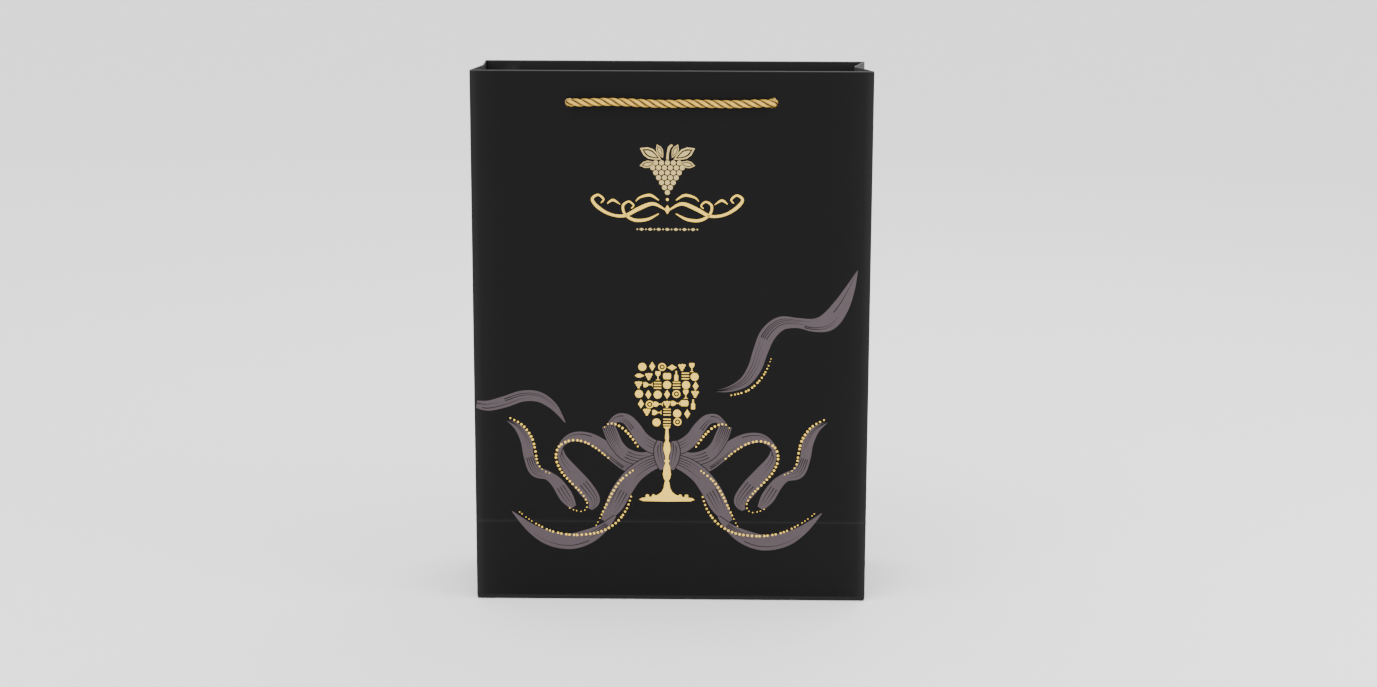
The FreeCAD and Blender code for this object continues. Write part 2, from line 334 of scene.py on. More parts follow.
def wall_profile(roll, straight_steps):
    """Stations round a wall: (kind, value, roll), from its left return to its right return."""
    returns = [("left", HALF_D - INSET, SIDE_ROLL), ("left", HALF_D - CORNER_RADIUS, SIDE_ROLL)]
    arc = [("left arc", k / 4, SIDE_ROLL + (roll - SIDE_ROLL) * k / 4) for k in range(5)]
    reach = HALF_W - CORNER_RADIUS
    middle = [("face", -reach + 2 * reach * k / straight_steps, roll)
              for k in range(1, straight_steps)]
    far_arc = [(kind.replace("left", "right"), value, r) for kind, value, r in reversed(arc)]
    ends = [("right", value, r) for _, value, r in reversed(returns)]
    return returns[:1] + arc + middle + far_arc + ends[1:]


def wall_point(station, inward, z, side):
    """The point of a wall at a station, some way in from the outer face."""
    kind, value, _ = station
    bow = 0.0
    if kind == "face":
        x, y = value, -HALF_D + inward
        bow = wall_bow(x, z, side)
    elif "arc" in kind:
        radius = max(CORNER_RADIUS - inward, 0.08)
        angle = math.pi / 2 * value
        x = -HALF_W + inward + radius - radius * math.cos(angle)
        y = -HALF_D + inward + radius - radius * math.sin(angle)
        bow = wall_bow(HALF_W, z, side) * value
        x = -x if "right" in kind else x
    else:
        x = -HALF_W + inward
        y = -value
        x = -x if kind == "right" else x
    y -= bow
    return (x, y, z) if side < 0 else (-x, -y, z)


def painted_corner_sheen(station):
    """Painted sheen: how much paler a wall is made towards its upright corners, where light from the
    side would give a sheen.
    """
    kind, value, _ = station
    return 0.08 * math.exp(-(HALF_W - abs(value)) / 7) if kind == "face" else 0.12


def painted_seam_sheen(x, side):
    """A painted sheen: a pale line inside the back's hem beside the glued seam's edge."""
    return 0.3 * math.exp(-((x - SEAM_EDGE_X) / 3.2) ** 2) if side > 0 else 0.0


def wall_rows(side, heights, rolled):
    """Rows of points up a wall and, if rolled, over its top edge and down the inside."""
    stations = wall_profile(WALL_ROLL, WALL_STEPS)
    rows, wear_and_painted_light = [], []
    for z in heights:
        rows.append([wall_point(s, 0.0, z, side) for s in stations])
        near = math.exp(-abs(z - CREASE_Z) / 0.5) if side < 0 else 0.0
        # Crease wear, plus painted sheen towards the upright corners.
        wear_and_painted_light.append([0.1 * near + painted_corner_sheen(s) for s in stations])
    if rolled:
        for k in range(1, 9):
            angle = math.pi * k / 8
            rows.append([wall_point(s, s[2] * (1 - math.cos(angle)),
                                    TOP - s[2] + s[2] * math.sin(angle), side) for s in stations])
            # Over the top roll: worn paler at the fold, with painted light ramping up towards the inner
            # hem.
            wear_and_painted_light.append([HEM_PAINTED_LIGHT * k / 8 + 0.75 * math.sin(angle) for _ in stations])
        for k in range(1, 7):
            z = TOP - WALL_ROLL + (HEM_Z - TOP + WALL_ROLL) * k / 6
            rows.append([wall_point(s, 2 * s[2], z, side) for s in stations])
            # Inner hem rows: painted light makes them paler, with a painted sheen beside the back's
            # seam.
            wear_and_painted_light.append([HEM_PAINTED_LIGHT + painted_seam_sheen(x, side) for x, _, _ in rows[-1]])
    return rows, wear_and_painted_light


def heights_between(low, high, near, count):
    """Heights up a wall, closer together beside the crease at near."""
    close = [near + d * way for d in CREASE_ROWS for way in (-1, 1)]
    even = [low + (high - low) * k / count for k in range(count + 1)]
    inside = [z for z in close if low + 0.05 < z < high - 0.05]
    return sorted(even + inside)


def punch_holes(side):
    """Cutters at the places of the two rope holes in a wall."""
    cutters = []
    rope_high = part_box("front_rope" if side < 0 else "back_rope")[1]
    level = rope_high[2] / MM - ROPE_RADIUS
    for end in (-1, 1):
        cutter = bmesh.new()
        turn = Matrix.Rotation(math.radians(90), 4, "X")
        place = Matrix.Translation(Vector((end * HOLE_X, side * HALF_D, level)) * MM)
        bmesh.ops.create_cone(cutter, cap_ends=True, segments=40, radius1=HOLE_RADIUS * MM,
                              radius2=HOLE_RADIUS * MM, depth=12 * MM, matrix=place @ turn)
        mesh = bpy.data.meshes.new("cutter")
        cutter.to_mesh(mesh)
        cutter.free()
        thing = bpy.data.objects.new("cutter", mesh)
        bpy.context.scene.collection.objects.link(thing)
        cutters.append(thing)
    return cutters


def make_walls():
    heights = heights_between(CREASE_Z, TOP - WALL_ROLL, CREASE_Z, 40)
    rows, wear_and_painted_light = wall_rows(-1, heights, True)
    front = paper_sheet("front_wall", rows, wear_and_painted_light, -1, punch_holes(-1))
    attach(front, "front")
    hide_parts("front_panel", "front_hem")

    heights = [CORNER_RADIUS * 0.4] + heights_between(CORNER_RADIUS, TOP - WALL_ROLL, -9, 44)
    rows, wear_and_painted_light = wall_rows(1, heights, True)
    tuck = [(x * 0.9985, y - 0.7, 0.12) for x, y, z in rows[0]]
    back = paper_sheet("back_wall", [tuck] + rows, [wear_and_painted_light[0]] + wear_and_painted_light, -1, punch_holes(1))
    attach(back, "back")
    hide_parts("back_panel", "back_hem")

    heights = heights_between(INSET, CREASE_Z, CREASE_Z, 12)
    rows, wear_and_painted_light = wall_rows(-1, heights, False)
    band = paper_sheet("front_lower_sheet", rows, wear_and_painted_light, -1)
    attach(band, "front_lower")
    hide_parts("front_lower_band")


def side_pinch(y, z, depth):
    """How far a side stands in, towards its centre crease, with most of it at the mouth."""
    share = 1 - abs(y) / (HALF_D - INSET)
    opening = smooth_step((z - 0.25 * TOP) / (0.75 * TOP))
    return share * (0.5 + depth * opening)


def side_low(y):
    """The lower edge of a side: the slanting fold behind, the cross crease in front."""
    return HALF_D - y if y >= 0 else CREASE_Z


def make_upper_side(word, side, depth):
    """Both halves of a side in one sheet, with the turned-over top, bent at the centre crease."""
    reach = HALF_D - INSET
    steps = [reach * k / 14 for k in range(14, 0, -1)]
    ys = steps + [0.6, 0.0, -0.001, -0.6] + [-v for v in reversed(steps)]
    rows, wear_and_painted_light = [], []
    ups = [0.0, 0.004, 0.012] + [k / 36 for k in range(1, 37)]
    for up in ups:
        rows.append([])
        wear_and_painted_light.append([])
        for y in ys:
            low = side_low(y)
            z = low + (TOP - SIDE_ROLL - low) * up
            edge = math.exp(-(z - low) / FOLD_FADE)
            x = HALF_W - side_pinch(y, z, depth) + FOLD_LIFT * edge
            rows[-1].append((side * x, y, z))
            wear_and_painted_light[-1].append(FOLD_WEAR * edge + 0.25 * math.exp(-abs(y) / 0.5))
    for k in range(1, 7):
        angle = math.pi * k / 6
        inward = SIDE_ROLL * (1 - math.cos(angle))
        z = TOP - SIDE_ROLL + SIDE_ROLL * math.sin(angle)
        rows.append([(side * (HALF_W - side_pinch(y, z, depth) - inward), y, z) for y in ys])
        wear_and_painted_light.append([0.75 * math.sin(angle) for _ in ys])
    for k in range(1, 5):
        z = TOP - SIDE_ROLL + (HEM_Z - TOP + SIDE_ROLL) * k / 4
        rows.append([(side * (HALF_W - side_pinch(y, z, depth) - 2 * SIDE_ROLL), y, z) for y in ys])
        # The inner hem is painted paler, standing in for light from the front.
        wear_and_painted_light.append([HEM_PAINTED_LIGHT for _ in ys])
    sheet = paper_sheet(f"{word}_side", rows, wear_and_painted_light, side)
    z = TOP / 2 * MM
    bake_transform(sheet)
    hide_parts(*(f"{word}_gusset_{part}" for part in
                         ("rear", "rear_hem", "front", "front_hem")))


def make_foot(word, side):
    """The triangle that stands on the base, with its narrow strip below the fold."""
    rows, wear_and_painted_light = [], []
    heights = [0.15, 0.9, 1.9, INSET] + [INSET + (HALF_D - INSET) * k / 16 for k in range(1, 17)]
    for z in heights:
        if z < INSET:
            front, rear = HALF_D - 1.2 - 0.5 * (INSET - z) / INSET, HALF_D - INSET
        else:
            front = rear = max(HALF_D - z, 0.02)
        tuck = 0.5 * (1 - z / 1.2) if z < 1.2 else 0.0
        row, marks = [], []
        for k in range(13):
            y = rear - (rear + front) * k / 12
            edge = min(abs(y - rear), abs(y + front))
            lift = FOLD_LIFT * math.exp(-edge / FOLD_FADE)
            row.append((side * (HALF_W + (lift if z > INSET else 0.0) - tuck), y, z))
            marks.append(FOLD_WEAR * math.exp(-edge / FOLD_FADE))
        rows.append(row)
        wear_and_painted_light.append(marks)
    sheet = paper_sheet(f"{word}_foot_sheet", rows, wear_and_painted_light, side)
    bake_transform(sheet)
    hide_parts(f"{word}_foot_triangle")


def make_corner(word, side):
    """The triangle between the slanting fold in front and the cross crease."""
    rows, wear_and_painted_light = [], []
    for i in range(13):
        y = -(HALF_D - INSET) * (1 - i / 12)
        low = HALF_D + y
        rows.append([])
        wear_and_painted_light.append([])
        for k in range(11):
            z = low + (CREASE_Z - low) * k / 10
            edge = min(z - low, CREASE_Z - z)
            fade = math.exp(-edge / FOLD_FADE)
            rows[-1].append((side * (HALF_W + FOLD_LIFT * fade), y, z))
            wear_and_painted_light[-1].append(FOLD_WEAR * fade)
    sheet = paper_sheet(f"{word}_corner_sheet", rows, wear_and_painted_light, side)
    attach(sheet, f"{word}_corner")
    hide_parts(f"{word}_corner_triangle")


def make_front_flap():
    """The flap that turns from the front's foot under the base."""
    low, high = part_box("bottom_flap_front")
    depth = (high[1] - low[1]) / MM
    section = [(-HALF_D, INSET), (-HALF_D, CORNER_RADIUS)]
    for k in range(1, 6):
        angle = math.pi / 2 * k / 5
        section.append((-HALF_D + CORNER_RADIUS * (1 - math.cos(angle)),
                        CORNER_RADIUS * (1 - math.sin(angle))))
    section += [(-HALF_D + depth * k / 6, 0.0) for k in range(1, 7)]
    rows, wear_and_painted_light = [], []
    for y, z in section:
        inward = 0.5 + 14 * max(0.0, (y + HALF_D - CORNER_RADIUS) / depth)
        reach = HALF_W - inward
        rows.append([(reach * (k / 14 - 1), y, z) for k in range(29)])
        wear_and_painted_light.append([0.12 if z > 0 else 0.0 for _ in range(29)])
    sheet = paper_sheet("front_flap_sheet", rows, wear_and_painted_light, 1)
    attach(sheet, "base")
    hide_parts("bottom_flap_front")


# ---------------------------------------------------------------- ropes

ROPE_DIAMETER = 5.5
ROPE_RADIUS = ROPE_DIAMETER / 2
HOLE_RADIUS = 3.7
HOLE_X = 70.5
LAY = 19.5
STRAND_ACROSS = 1.26
STRAND_ALONG = 1.36
STRAND_CENTRE = ROPE_RADIUS - STRAND_ACROSS
STRAND_SIDES = 12
THREAD_SLANT = 0.16
LINE_STEP = 0.6
KNOT_LAY = 12.0
KNOT_SQUEEZE = 0.78
END_SQUEEZE = 0.92
HANDLE_Z = 358.0
BEND_X = 71.25


def rope_route(side, knot_x):
    """The route's points in millimetres, from the left knot to the right knot."""
    out, inside, hanging, level = side * 57.85, side * 46.85, side * 48.5, HANDLE_Z
    waves = [(-41, out, level + 0.8), (-8, out, level - 0.9), (15, out, level - 0.2),
             (42, out, level - 0.9)]
    right = [
        (60.25, out, level),
        (BEND_X, out, level),
        (BEND_X, inside, level),
        (BEND_X + (knot_x - BEND_X) * 0.16, inside + (hanging - inside) * 0.16, level - 11),
        (knot_x, hanging, 292.0),
        (knot_x, hanging, 258.0),
    ]
    left = [(-x, y, z) for x, y, z in reversed(right)]
    return [Vector(p) for p in left + waves + right]


def spline_points(points, closed=False):
    """Points along a NURBS spline of order 3 through the route, in millimetres."""
    curve = bpy.data.curves.new("route", "CURVE")
    curve.dimensions = "3D"
    curve.resolution_u = 24
    spline = curve.splines.new("NURBS")
    spline.points.add(len(points) - 1)
    for target, point in zip(spline.points, points):
        target.co = (*point, 1)
    spline.order_u = 3
    spline.use_endpoint_u = not closed
    spline.use_cyclic_u = closed
    holder = bpy.data.objects.new("route", curve)
    bpy.context.scene.collection.objects.link(holder)
    bpy.context.view_layer.update()
    mesh = bpy.data.meshes.new_from_object(holder)
    found = [v.co.copy() for v in mesh.vertices]
    bpy.data.objects.remove(holder)
    bpy.data.curves.remove(curve)
    bpy.data.meshes.remove(mesh)
    return found + found[:1] if closed else found


def even_points(points, step):
    """The same line with points one step apart."""
    lengths = [0.0]
    for a, b in zip(points, points[1:]):
        lengths.append(lengths[-1] + (b - a).length)
    count = max(2, round(lengths[-1] / step))
    found, i = [], 0
    for k in range(count + 1):
        want = lengths[-1] * k / count
        while i < len(points) - 2 and lengths[i + 1] < want:
            i += 1
        span = lengths[i + 1] - lengths[i]
        share = (want - lengths[i]) / span if span > 0 else 0.0
        found.append(points[i].lerp(points[i + 1], min(1.0, share)))
    return found, lengths[-1]


def strands_mesh(name, centre, length, lay, squeeze, start_angle=0.0):
    """Three strands laid right-handed round a line, each with a thread direction in its UVs and a height
    value that the rope material uses to paint shade into the grooves.
    """
    sides = STRAND_SIDES
    tangents = []
    for i in range(len(centre)):
        ahead = centre[min(i + 1, len(centre) - 1)] - centre[max(i - 1, 0)]
        tangents.append(ahead.normalized())
    normal = tangents[0].orthogonal().normalized()
    points, faces, coordinates, heights = [], [], [], []
    step = length / (len(centre) - 1)
    normals = []
    for tangent in tangents:
        normal = (normal - tangent * normal.dot(tangent)).normalized()
        normals.append(normal)
    for strand in range(3):
        first = len(points)
        for i, (place, tangent, normal) in enumerate(zip(centre, tangents, normals)):
            angle = start_angle + 2 * math.pi * (i * step / lay + strand / 3)
            side_way = tangent.cross(normal)
            radial = normal * math.cos(angle) + side_way * math.sin(angle)
            round_way = tangent.cross(radial)
            slope = 2 * math.pi * STRAND_CENTRE / lay
            along = (tangent + round_way * slope).normalized()
            across = along.cross(radial).normalized()
            middle = place + radial * STRAND_CENTRE * squeeze
            for k in range(sides):
                turn = 2 * math.pi * k / sides
                points.append(middle + (radial * math.cos(turn) * STRAND_ACROSS
                                        + across * math.sin(turn) * STRAND_ALONG) * squeeze)
                # Painted shade: the height value is low on each strand's inner side, in the grooves,
                # where the material darkens it.
                heights.append(smooth_step(math.cos(turn) + 0.1))
        for i in range(len(centre) - 1):
            for k in range(sides):
                a, b = first + i * sides + k, first + i * sides + (k + 1) % sides
                faces.append((a, b, b + sides, a + sides))
                along, beyond = i * step, (i + 1) * step
                turn, next_turn = k / sides, (k + 1) / sides
                coordinates += [(around_uv * 2 - reach * THREAD_SLANT, reach) for around_uv, reach in
                                ((turn, along), (next_turn, along), (next_turn, beyond), (turn, beyond))]
        last = first + (len(centre) - 1) * sides
        faces.append(tuple(first + k for k in reversed(range(sides))))
        faces.append(tuple(last + k for k in range(sides)))
        coordinates += [(0, 0)] * (2 * sides)
    mesh = bpy.data.meshes.new(name)
    mesh.from_pydata([p * MM for p in points], [], faces)
    mesh.attributes.new("height", "FLOAT", "POINT").data.foreach_set("value", heights)
    layer = mesh.uv_layers.new(name="thread")
    for loop, uv in zip(layer.data, coordinates):
        loop.uv = uv
    mesh.shade_smooth()
    return mesh


def knot_line(x, y, top):
    """The line of an overhand knot that hangs from a tail, with its short end below."""
    points = []
    for k in range(25):
        turn = 2 * math.pi * k / 24 * 0.97 + 0.25
        points.append(Vector((
            x + (math.sin(turn) + 2 * math.sin(2 * turn)) * 0.98,
            y + math.sin(3 * turn) * 1.35,
            top - 6.0 + (math.cos(turn) - 2 * math.cos(2 * turn)) * 1.15,
        )))
    return points


def make_knot(node, x, y, top, body):
    name = node.replace("rope_knot", "knot")
    line, length = even_points(spline_points(knot_line(x, y, top)), LINE_STEP)
    knot_mesh = strands_mesh(name, line, length, KNOT_LAY, KNOT_SQUEEZE)
    knot = new_object(name, knot_mesh, ROPE)
    end_line = [Vector((x + 0.4 * math.sin(k / 3), y, top - 8.0 - k * 1.6)) for k in range(8)]
    line, length = even_points(end_line, LINE_STEP)
    end_mesh = strands_mesh(name + "_end", line, length, LAY, END_SQUEEZE)
    tail = new_object(name + "_end", end_mesh, ROPE)
    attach(knot, body)
    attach(tail, body)
    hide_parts(node)
    return [knot, tail]


def make_rope(name, side, body):
    low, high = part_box(f"{name}_knot_right")
    knot_x = (low[0] + high[0]) / 2 / MM
    knot_y = (low[1] + high[1]) / 2 / MM
    route = rope_route(side, knot_x)
    line, length = even_points(spline_points(route), LINE_STEP)
    thing = new_object(name + "_cord", strands_mesh(name, line, length, LAY, 1.0), ROPE)
    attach(thing, body)
    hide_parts(name)
    ends = []
    for end, word in ((-1, "left"), (1, "right")):
        ends += make_knot(f"{name}_knot_{word}", end * knot_x, knot_y, route[0].z, body)


make_camera()
make_rope("front_rope", -1, "front")
make_rope("back_rope", 1, "back")
make_walls()
for word, side, depth in (("left", -1, 3.0), ("right", 1, 9.5)):
    make_upper_side(word, side, depth)
    make_foot(word, side)
    make_corner(word, side)
make_front_flap()


# ---------------------------------------------------------------- printed ornament
# Drawn in millimetres as (across, height), with x counted from the ornament's own centre line.


def smooth_line(points, steps=7):
    """A smooth line through points of any number of values (Catmull-Rom)."""
    padded = [points[0]] + list(points) + [points[-1]]
    line = []
    for a, b, c, d in zip(padded, padded[1:], padded[2:], padded[3:]):
        for k in range(steps):
            t = k / steps
            line.append(tuple(
                0.5 * (2 * q + (r - p) * t + (2 * p - 5 * q + 4 * r - s) * t * t
                       + (3 * q - p - 3 * r + s) * t * t * t)
                for p, q, r, s in zip(a, b, c, d)))
    return line + [tuple(points[-1])]


def edge_point(line, i, share):
    """A point beside place i of a line of (x, z, half width), share of the width to its left."""
    ahead, behind = line[min(i + 1, len(line) - 1)], line[max(i - 1, 0)]
    dx, dz = ahead[0] - behind[0], ahead[1] - behind[1]
    size = math.hypot(dx, dz) or 1.0
    x, z, half = line[i]
    return (x - dz / size * half * share, z + dx / size * half * share)


def ribbon(line, spare=0.0):
    """The quads of a band along a line of (x, z, half width)."""
    wide = [(x, z, half + spare) for x, z, half in line]
    left = [edge_point(wide, i, 1) for i in range(len(wide))]
    right = [edge_point(wide, i, -1) for i in range(len(wide))]
    return [[left[i], right[i], right[i + 1], left[i + 1]] for i in range(len(wide) - 1)]


def strokes(line, first, last, shares, width=0.28):
    """Thin tapering lines that follow a ribbon from one part of its length to another."""
    found = []
    for n, share in enumerate(shares):
        start = int((len(line) - 1) * first)
        end = int((len(line) - 1) * (last - (last - first) * 0.12 * (n % 3)))
        places = range(start, end + 1)
        trace = []
        for i in places:
            done = (i - start) / max(1, end - start)
            x, z = edge_point(line, i, share * (1 - 0.12 * done))
            trace.append((x, z, width * (1 - done) + 0.03))
        if len(trace) > 2:
            found += ribbon(trace)
    return found


def disc(x, z, radius, sides=14):
    return [(x + radius * math.cos(2 * math.pi * k / sides),
             z + radius * math.sin(2 * math.pi * k / sides)) for k in range(sides)]


def ring(x, z, radius, width):
    outer, inner = disc(x, z, radius, 20), disc(x, z, radius - width, 20)
    return [[outer[k - 1], outer[k], inner[k], inner[k - 1]] for k in range(20)]


def beads(points, spacing, first, last):
    """A row of dots along a smooth line, from one radius to another."""
    line = smooth_line(points, 12)
    found, travelled, due = [], 0.0, 0.0
    total = sum(math.dist(a, b) for a, b in zip(line, line[1:]))
    for a, b in zip(line, line[1:]):
        travelled += math.dist(a, b)
        if travelled >= due:
            share = travelled / total
            swell = math.sin(math.pi * min(1.0, share * 1.1 + 0.05)) ** 0.5
            found.append(disc(b[0], b[1], first + (last - first) * swell, 10))
            due += spacing
    return found


def mirrored(shapes):
    return [[(-x, z) for x, z in reversed(shape)] for shape in shapes]


def turned_outline(profile):
    """A shape that is the same on both sides, from (height, half width) pairs."""
    right = [(half, z) for z, half in profile]
    return [(-x, z) for x, z in reversed(right)] + right


def around(shape, x, z, size, turn=0.0):
    """A unit shape at a place, scaled and turned."""
    c, s = math.cos(turn) * size, math.sin(turn) * size
    return [(x + px * c - pz * s, z + px * s + pz * c) for px, pz in shape]


BOTTLE = turned_outline([(1.1, 0.15), (0.35, 0.17), (0.1, 0.42), (-1.0, 0.42), (-1.08, 0.3)])
CUP = turned_outline([(1.0, 0.5), (0.55, 0.58), (0.1, 0.35), (-0.1, 0.1), (-0.75, 0.1), (-0.95, 0.5)])
LEAF = [(0, 1.05), (0.38, 0.5), (0.45, 0), (0.25, -0.55), (0, -1.0), (-0.25, -0.55), (-0.45, 0),
        (-0.38, 0.5)]
DIAMOND = [(0, 1), (0.62, 0), (0, -1), (-0.62, 0)]
BAR = [(-0.9, 0.14), (-0.9, -0.14), (0.9, -0.14), (0.9, 0.14)]
CASK = turned_outline([(0.7, 0.72), (0.3, 0.9), (-0.3, 0.9), (-0.7, 0.72)])

# The left half of the bow; every row is (x, height, half width).
BOW = {
    "return": [(-76, 113, 1.2), (-74.5, 104, 3.4), (-67, 93, 5.2), (-58.5, 82.5, 5.8),
               (-52.5, 73.5, 4.6), (-55, 67, 1.4)],
    "loop": [(-4, 106.5, 4.5), (-16, 101.5, 4.8), (-27, 99.5, 4.8), (-36, 105, 4.6),
             (-45, 113, 4.6), (-56, 119, 4.2), (-67, 120, 3.2), (-75, 114.5, 1.9), (-77, 107, 1.2)],
    "fan": [(-42, 129, 4.4), (-39, 121, 4.8), (-35, 113.5, 4.4), (-29, 107.5, 4.6),
            (-19, 104.5, 4.6), (-8, 106.5, 4)],
    "ear": [(-3, 112, 4.4), (-11, 114, 5), (-18, 119.5, 4.8), (-23, 127, 4.4), (-28.5, 133, 3.8),
            (-35, 134, 3), (-41, 129.5, 1.6)],
    "side": [(-114, 132, 0.4), (-106, 126.5, 2.6), (-100.5, 117, 3.9), (-98.5, 105, 3.7),
             (-94, 95, 4.3), (-85, 91.5, 3.3), (-78.5, 86, 4.2), (-72, 76, 4.8), (-67, 68.5, 2.4)],
    "tail": [(-6, 103, 4.6), (-15, 99, 5.6), (-24, 92, 6.2), (-32, 81, 6.8), (-38, 69.5, 6.2),
             (-45, 58.5, 2.4)],
    "sweep": [(-37, 62, 0.8), (-46, 53, 3.4), (-57, 46.5, 5.4), (-70, 43, 5.8), (-85, 45.5, 5.2),
              (-98, 53, 3.3), (-111, 65, 0.3)],
    "knot": [(-5, 117.5, 1.8), (-6, 111, 3.2), (-4.8, 103.5, 3.4), (-3.6, 96.5, 1.4)],
}
LOOSE = {
    "left": [(-135.5, 143.5, 2.8), (-127, 142.5, 3.7), (-115, 145.5, 4.1), (-103, 149.5, 4),
             (-91, 149, 3.7), (-80.5, 142, 2.6), (-72.5, 130.5, 0.3)],
    "right": [(33.5, 154, 0.4), (44, 155.5, 2), (55, 161, 3.8), (62, 171, 4.8), (66, 183, 5.2),
              (71, 195, 5.6), (80, 203, 5), (92, 203.5, 3.6), (104, 202, 4.8), (114, 205, 6.6),
              (122, 215, 5.8), (128.5, 228, 3.4), (133.5, 241, 0.3)],
}
BOW_STROKES = {
    "return": [(0.55, 1.0, (0.6, 0.2, -0.25)), (0.0, 0.4, (-0.3, 0.3))],
    "loop": [(0.0, 0.42, (-0.7, -0.35, 0, 0.35, 0.7)), (0.3, 0.6, (0.75, 0.5)), (0.62, 0.9, (-0.5,))],
    "fan": [(0.0, 0.5, (-0.8, -0.5, -0.2, 0.1, 0.4, 0.7)), (0.6, 1.0, (-0.5, 0, 0.5))],
    "ear": [(0.0, 0.35, (-0.6, -0.2, 0.25)), (0.5, 0.85, (0.6, 0.2)), (0.75, 1.0, (-0.4,))],
    "side": [(0.0, 0.35, (0.5, 0.1)), (0.38, 0.62, (0.7, 0.3, -0.1, -0.5)), (0.8, 1.0, (0.5, 0, -0.5))],
    "tail": [(0.0, 0.45, (-0.65, -0.3, 0.05, 0.4)), (0.62, 0.86, (0.6, 0.25, -0.1, -0.5))],
    "sweep": [(0.14, 0.42, (-0.5, -0.1, 0.3)), (0.35, 0.8, (0.55,))],
    "knot": [(0.1, 0.9, (0.45,)), (0.2, 0.8, (-0.2,))],
}
LOOSE_STROKES = {
    "left": [(0.35, 0.95, (0.5, 0.15)), (0.1, 0.6, (-0.5,)), (0.0, 0.3, (0.3,))],
    "right": [(0.0, 0.45, (0.55, 0.15, -0.3)), (0.4, 0.66, (0.6, 0.35, 0.1, -0.2)),
              (0.62, 0.8, (-0.4, -0.65)), (0.8, 1.0, (0.3,))],
}
BOW_BEADS = [
    [(-20.5, 113), (-26.5, 121.5), (-33.5, 128), (-41, 130), (-46, 125.5)],
    [(-41.5, 104.5), (-50, 111.5), (-59, 116.5), (-68.5, 117.5), (-77, 113), (-79.2, 104),
     (-75, 94), (-67.5, 85.5), (-60.5, 78), (-57, 70.5), (-60, 65.5), (-67, 66.5), (-71.5, 69)],
    [(-112, 133.8), (-103, 128.5), (-96.5, 119.5), (-94, 110), (-92.5, 101), (-88.5, 95.5),
     (-83, 93)],
    [(-24, 96), (-33, 88.5), (-39.5, 78.5), (-44, 69), (-48, 60.5), (-51, 54.5)],
    [(-25.5, 77), (-29, 67), (-36, 57.5), (-46, 51), (-57, 48.4), (-70, 48), (-84, 51), (-97, 58),
     (-107.5, 66)],
]
LOOSE_BEADS = [[(45, 151), (57, 154.5), (66, 162.5), (71.5, 172), (74, 179.5)]]
STEM = [(128, 2.6), (126.2, 0.9), (124, 1.0), (120, 1.4), (117.5, 1.0), (115.5, 2.1),
        (111, 2.5), (106.5, 1.2), (104, 1.0),
        (103, 2.0), (101.6, 1.0), (98.5, 2.1), (93, 2.9), (89.5, 2.0), (88.3, 1.1), (87, 1.7),
        (83, 2.3), (80, 3.8), (78, 6.4), (76.6, 10.5), (75.6, 18), (74.4, 19.8), (73.3, 17), (73, 0.5)]
SCROLL = [
    [(-1, 283, 0.4), (-10, 287.5, 1.1), (-20, 284, 1.3), (-30, 279, 1.0), (-40, 280, 0.9),
     (-48.5, 285, 1.1), (-52.5, 290.5, 0.9), (-48.5, 293.6, 0.7), (-44.6, 290.6, 0.6),
     (-46.4, 288, 0.3)],
    [(-6, 280.5, 0.3), (-14, 276.5, 0.9), (-23, 276, 1.0), (-29.5, 280, 0.8), (-31, 286, 0.8),
     (-27, 289, 0.6), (-23.6, 286.4, 0.5), (-25.2, 284.2, 0.3)],
    [(-6, 290, 0.3), (-12, 293.5, 0.9), (-19, 292, 0.6), (-22, 289.2, 0.2)],
    [(-33, 287, 0.2), (-38, 290, 0.8), (-42, 287.5, 0.3)],
]
RULE_Z = 269.5
BOWL_FIRST_ROW = 171.5
BOWL_ROW_STEP = 6.7
BOWL = [(175, 21), (168, 23.5), (158, 24.8), (149, 24.3), (141, 21.5), (134, 16), (128, 8)]


def bowl_reach(z):
    for (high, wide), (low, narrow) in zip(BOWL, BOWL[1:]):
        if low <= z <= high:
            return narrow + (wide - narrow) * (z - low) / (high - low)
    return 0.0


def bowl_shapes():
    """The glass's bowl: rows of small cellar shapes, packed out to its curved sides."""
    chance = random.Random(7)
    found = []
    kinds = ["disc", "bottle", "cup", "leaf", "diamond", "bars", "cask", "grapes", "ring"]
    for row in range(7):
        z = BOWL_FIRST_ROW - BOWL_ROW_STEP * row
        reach = bowl_reach(z) - 1.2
        count = max(1, round(2 * reach / 6.6))
        for k in range(count):
            x = -reach + 2 * reach * (k + 0.5) / count
            height = z + chance.uniform(-0.6, 0.6)
            kind = kinds[(k * 4 + row * 3 + chance.randrange(2)) % len(kinds)]
            turn = chance.choice((0, 0, 0, math.pi / 2))
            if kind == "disc":
                found.append(disc(x, height, 2.85, 20))
            elif kind == "ring":
                found += ring(x, height, 2.8, 0.9) + [disc(x, height, 0.9)]
            elif kind == "grapes":
                for px, pz in ((-1.7, 1.5), (0, 1.7), (1.7, 1.5), (-0.9, 0), (0.9, 0), (0, -1.6)):
                    found.append(disc(x + px, height + pz, 0.92, 10))
            elif kind == "bars":
                found += [around(BAR, x, height + d, 2.9) for d in (-2.0, 0, 2.0)]
            else:
                shape = {"bottle": BOTTLE, "cup": CUP, "leaf": LEAF, "diamond": DIAMOND,
                         "cask": CASK}[kind]
                size = 3.1 if kind == "cask" else 3.3
                found.append(around(shape, x, height, size, turn))
    return found


